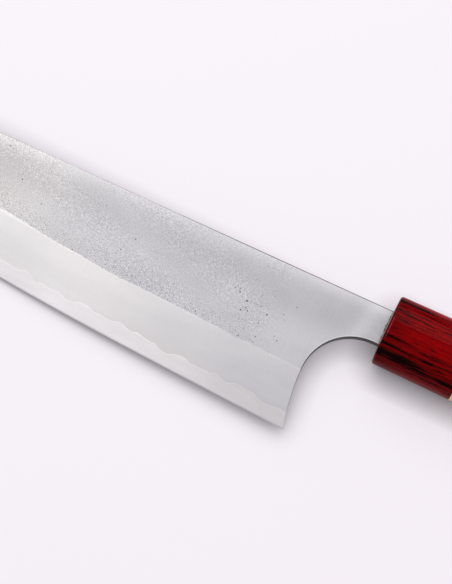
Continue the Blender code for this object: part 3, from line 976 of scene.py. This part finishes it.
def cladding_finish():
    """Soft steel: pear-skin flats over a satin bevel, smoother towards the neck."""
    surface = BladeSurface("cladding_finish", CLADDING_TEXTURES)
    smooth = band(surface.x + surface.tone(drift=SMOOTH_DRIFT), *SMOOTH_ALONG)
    near_shinogi = hill(surface.above_edge, *SHINOGI_ABOVE)
    flat = flat_share(surface)
    areas = painted_light_and_shade(surface, smooth)
    pits = pitting(surface, near_shinogi, smooth)
    upper = blend(smooth, pear_skin(surface, near_shinogi, smooth, areas), neck_steel(surface, areas))
    upper = blend(pits * PIT_STRENGTH, upper, PIT)
    surface.paint(Base_Color=walls(surface, blend(flat, satin(surface), upper)))
    upper_roughness = between(smooth, PEAR_ROUGHNESS, NECK_ROUGHNESS)
    surface.paint(Roughness=between(flat, SATIN_ROUGHNESS, upper_roughness))
    grain = surface.tone(speckle=SPECKLE_DEPTH) * between(smooth, 1, SPECKLE_DEPTH_KEPT)
    surface.relief((grain - pits * PIT_DEPTH) * flat + surface.tone(brushed=BRUSHED_DEPTH))
    return surface


CORE_TEXTURES = {
    "brushed": {"size": (0.3 * MM, 5 * MM, 2 * MM), "detail": 3},
    "haze": {"size": (14 * MM, 3 * MM, 3 * MM), "detail": 3},
    "patches": {"size": 6 * MM},
}
CORE_LIGHT_ALONG = (-36 * MM, -64 * MM, 0.66)
CORE_SHADE_ALONG = (-100 * MM, -120 * MM, 0.6)
CORE_BRUSHED_DEPTH = 0.0008 * MM


def core_finish():
    """Hard steel: bright satin up to the wavy line."""
    surface = BladeSurface("core_finish", CORE_TEXTURES)
    share = surface.tone(haze=0.3) + band(surface.x, *CORE_LIGHT_ALONG) - band(surface.x, *CORE_SHADE_ALONG)
    colour = cream_tint(surface, blend(share, CORE_DARK, CORE_LIGHT), -CREAM_REACH, CREAM_ON_CORE)
    surface.paint(Base_Color=walls(surface, colour), Roughness=surface.tone(middle=0.34, haze=0.02))
    surface.relief(surface.tone(brushed=CORE_BRUSHED_DEPTH))
    return surface


RED_LIGHT = (0.31, 0.0006, 0.002)
RED_DEEP = (0.12, 0.0005, 0.0012)
RED_BLACK = (0.004, 0.0002, 0.0002)
# Painted highlight for the ferrule's front rounding
RED_PAINTED_HIGHLIGHT = (0.45, 0.06, 0.075)

PAKKAWOOD_TEXTURES = {
    "broad": {"size": (60 * MM, 2.6 * MM, 6 * MM), "detail": 3, "warp": 0.4},
    "wander": {"size": (22 * MM, 5 * MM, 8 * MM)},
    "streaks": {"size": (20 * MM, 0.7 * MM, 2 * MM), "detail": 5, "roughness": 0.75, "warp": 0.3},
    "fibres": {"size": (6 * MM, 0.35 * MM, 0.9 * MM), "detail": 3, "roughness": 0.7},
}

# The dark layers of the laminate: height above the handle's axis and reach in millimetres, and darkness
DARK_LAYERS = ((9.5, 1.7, 0.65), (7, 1.6, 0.2), (5.25, 0.9, 0.7), (2.15, 1.2, 0.4), (-1.6, 0.9, 0.25),
               (-4, 0.9, 0.5), (-6.3, 1.2, 0.6), (-8.4, 3, 0.25), (-9.5, 1.9, 0.95))
LAYER_WANDER = 1.1 * MM
LAYER_SLOPE = 0.03
LAYER_FADE_ALONG = (8 * MM, 22 * MM, 0.5)
INK_BAND = (0.15, 0.8)

# Painted light and shade on the ferrule: the red lighter up it and darker towards the front, a painted
# highlight on the front's rounding, and painted shade on the front face
RED_PAINTED_LIGHT_UP = (-11 * MM, -1 * MM, 0.4)
RED_PAINTED_SHADE_ALONG = (11 * MM, 2 * MM, 0.4)
HIGHLIGHT_FACING = (0.2, 0.17)
HIGHLIGHT_UP = (-1 * MM, 5.5 * MM)
HIGHLIGHT_FIBRES = (-0.5, 0.1)
SHADED_FACING = (0.3, 0.6)
SHADED_UP = (-11 * MM, -6 * MM, 0.4)
FIBRE_DEPTH = 0.001 * MM


def pakkawood():
    """Polished laminated wood: deep red with feathered black layers along the handle, under a clear coat."""
    surface = Surface("pakkawood_finish", PAKKAWOOD_TEXTURES, Coat_Weight=0.75, Coat_Roughness=0.08,
                      Coat_IOR=1.12, Specular_IOR_Level=0)
    x, y = surface.x, surface.y
    height = y + surface.tone(wander=LAYER_WANDER) + x * LAYER_SLOPE
    ink = surface.tone(streaks=2.2, fibres=1.5, broad=0.3)
    kept = 1 - band(x, *LAYER_FADE_ALONG)
    for layer_y, reach, darkness in DARK_LAYERS:
        ink = ink + hill(height, layer_y * MM, reach * MM, darkness) * kept
    share = surface.tone(middle=0.25, fibres=1.6, streaks=0.8)
    # Painted light up the ferrule and painted shade towards its front
    share = share + band(y, *RED_PAINTED_LIGHT_UP) - band(x, *RED_PAINTED_SHADE_ALONG)
    wood = blend(band(ink, *INK_BAND), blend(share, RED_DEEP, RED_LIGHT), RED_BLACK)
    ahead = surface.facing(ALONG) * -1
    # A painted highlight on the front's rounding, broken up by the fibres
    highlight = hill(ahead, *HIGHLIGHT_FACING) * hill(y, *HIGHLIGHT_UP) * band(surface.texture["fibres"], *HIGHLIGHT_FIBRES)
    shaded = band(ahead, *SHADED_FACING) * band(y, *SHADED_UP)
    wood = blend(shaded, blend(highlight, wood, RED_PAINTED_HIGHLIGHT), RED_BLACK)
    surface.paint(Base_Color=wood, Roughness=surface.tone(middle=0.4, fibres=0.08))
    surface.relief(surface.tone(fibres=FIBRE_DEPTH))
    return surface


MAGNOLIA_LIGHT = (0.85, 0.61, 0.43)
MAGNOLIA_DARK = (0.68, 0.455, 0.305)
MAGNOLIA_ROUGHNESS = 0.6
DOWEL_LIGHT = (0.60, 0.44, 0.27)
DOWEL_DARK = (0.42, 0.28, 0.15)
DOWEL_ROUGHNESS = 0.75

WOOD_TEXTURES = {
    "rings": {"size": (120 * MM, 3.2 * MM, 9 * MM), "warp": 0.5},
    "grain": {"size": (26 * MM, 0.35 * MM, 0.6 * MM), "detail": 4, "roughness": 0.6},
}
PORES = {"spacing": (2.4 * MM, 0.3 * MM, 0.3 * MM), "share": 0.3, "radius": 0.35}
PORE_STRENGTH = 0.35
PORE_DEPTH = 0.02 * MM
GRAIN_DEPTH = 0.012 * MM


def bare_wood(name, light, dark, roughness):
    """Plain sanded wood, with fine straight grain and short pores."""
    surface = Surface(name, WOOD_TEXTURES)
    pores = surface.dots(**PORES)
    colour = blend(surface.tone(middle=0.5, rings=0.6, grain=0.7), dark, light)
    surface.paint(Base_Color=blend(pores * PORE_STRENGTH, colour, dark))
    surface.paint(Roughness=surface.tone(middle=roughness, grain=0.1))
    surface.relief(surface.tone(grain=GRAIN_DEPTH) - pores * PORE_DEPTH)
    return surface


FILLER_TAN = (0.58, 0.40, 0.25)
FILLER_DARK = (0.05, 0.035, 0.025)
FILLER_TEXTURES = {"crumbs": {"size": 0.5 * MM, "detail": 4, "roughness": 0.7}}
HOLLOW_BAND = (0.4, 0)
CRUMB_DEPTH = 0.08 * MM


def mouth_filler():
    """Tan filler, rough and dark in its hollows."""
    surface = Surface("mouth_filler_finish", FILLER_TEXTURES)
    hollows = band(surface.texture["crumbs"], *HOLLOW_BAND)
    surface.paint(Base_Color=blend(hollows, FILLER_TAN, FILLER_DARK))
    surface.paint(Roughness=surface.tone(middle=0.8, crumbs=0.1))
    surface.relief(surface.tone(crumbs=CRUMB_DEPTH))
    return surface


GLUE_AMBER = (0.52, 0.34, 0.13)
GLUE_BROWN = (0.34, 0.19, 0.06)
GLUE_TEXTURES = {"clouds": {"size": 4 * MM, "detail": 3}}
GLUE_ROUGHNESS = 0.25
GLUE_DEPTH = 0.05 * MM
BUBBLES = {"spacing": 0.9 * MM, "share": 0.3, "radius": 0.35}
BUBBLE_ROUGHNESS = 0.55
BUBBLE_DEPTH = 0.06 * MM


def hardened_glue():
    """Amber adhesive with brown clouds and small bubbles."""
    surface = Surface("tang_glue_finish", GLUE_TEXTURES)
    bubbles = surface.dots(**BUBBLES)
    surface.paint(Base_Color=blend(surface.tone(middle=0.5, clouds=1), GLUE_BROWN, GLUE_AMBER))
    surface.paint(Roughness=between(bubbles, GLUE_ROUGHNESS, BUBBLE_ROUGHNESS))
    surface.relief(surface.tone(clouds=GLUE_DEPTH) - bubbles * BUBBLE_DEPTH)
    return surface


def hidden_pieces():
    """Finishes for the pieces inside the handle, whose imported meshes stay."""
    finishes = {"tang_dowel": bare_wood("dowel_wood_finish", DOWEL_LIGHT, DOWEL_DARK, DOWEL_ROUGHNESS),
                "tang_adhesive": hardened_glue()}
    for node, surface in finishes.items():
        for slot in frame["nodes"][node].material_slots:
            slot.material = surface.material


def camera():
    """The photograph's view of the knife."""
    towards = Vector(VIEW_TOWARDS).normalized()
    level = square_to(towards, Vector((1, 0, 0)))
    right = cos(VIEW_ROLL) * level + sin(VIEW_ROLL) * towards.cross(level)
    data = bpy.data.cameras.new("camera")
    data.lens = VIEW_LENS
    data.clip_start = CLIP_START
    made = link("camera", data)
    place = Vector(VIEW_TARGET) + VIEW_DISTANCE * towards
    made.matrix_world = KNIFE @ Matrix.Translation(place) @ turned(right, towards.cross(right), towards)
    bpy.context.scene.camera = made


# The stage: the floor and the shadow where the knife touches it, the lamp, and the room, which is brighter on
# one side by a band
FLOOR_SIDE = 6
FLOOR_COLOUR = (0.85, 0.79, 0.84)
FLOOR_SEEN = (0.27, 0.254, 0.273)
FLOOR_GLOW = (0.632, 0.594, 0.635)
CONTACT_REACH = 10 * MM
CONTACT_DEPTH = 1.4
LAMP_FROM = (-0.3, 0.57, 0.78)
LAMP_DISTANCE = 1.3
LAMP_WIDTH = 1.3
LAMP_DEPTH = 1
LAMP_POWER = 7.9
ROOM_LIGHT = 0.55
BRIGHT_SIDE = (-0.85, 0.3, 0.43)
BRIGHT_BAND = (0.35, 0.95, 0.6)


def floor():
    """A plain pale floor. Part of its paleness glows, but less close to the knife, so that shadow is deep."""
    mesh = bmesh.new()
    bmesh.ops.create_grid(mesh, x_segments=1, y_segments=1, size=FLOOR_SIDE / 2)
    made = add_object("floor", mesh)
    surface = Surface("floor_finish", Roughness=0.6, Emission_Color=FLOOR_GLOW)
    rays = add_node(surface.tree, "ShaderNodeLightPath", {})
    camera_ray, glossy_ray, clear_ray = (Field(surface.tree, rays.outputs["Is %s Ray" % kind])
                                         for kind in ("Camera", "Glossy", "Transmission"))
    seen = (camera_ray + glossy_ray).math("MAXIMUM", clear_ray)
    shade = add_node(surface.tree, "ShaderNodeAmbientOcclusion", {"Distance": CONTACT_REACH})
    glow = seen * Field(surface.tree, shade.outputs["AO"]) ** CONTACT_DEPTH
    surface.paint(Base_Color=blend(seen, FLOOR_COLOUR, FLOOR_SEEN), Emission_Strength=glow)
    made.data.materials.append(surface.material)


def lamp():
    """One soft oblong lamp above the spine, which faces the knife and has its width along X."""
    data = bpy.data.lights.new("softbox", "AREA")
    data.shape = "RECTANGLE"
    data.size = LAMP_WIDTH
    data.size_y = LAMP_DEPTH
    data.energy = LAMP_POWER
    away = Vector(LAMP_FROM).normalized()
    across = square_to(away, Vector((1, 0, 0)))
    place = Matrix.Translation(away * LAMP_DISTANCE)
    link("softbox", data).matrix_world = place @ turned(across, away.cross(across), away)


def room():
    """A plain white room, brighter on one side."""
    world = bpy.data.worlds.new("room")
    bpy.context.scene.world = world
    world.use_nodes = True
    tree = world.node_tree
    view = Field(tree, tree.nodes.new("ShaderNodeTexCoord").outputs["Generated"])
    towards = view.vector_math("DOT_PRODUCT", Vector(BRIGHT_SIDE).normalized())
    background = tree.nodes["Background"]
    feed(background.inputs["Color"], (1, 1, 1))
    feed(background.inputs["Strength"], band(towards, *BRIGHT_BAND) + ROOM_LIGHT)


def main():
    """Dresses the knife and sets the stage."""
    blade_pieces()
    handle_pieces()
    mouth_bead()
    hidden_pieces()
    camera()
    floor()
    room()
    lamp()
    bpy.context.scene.view_settings.view_transform = "Standard"


main()
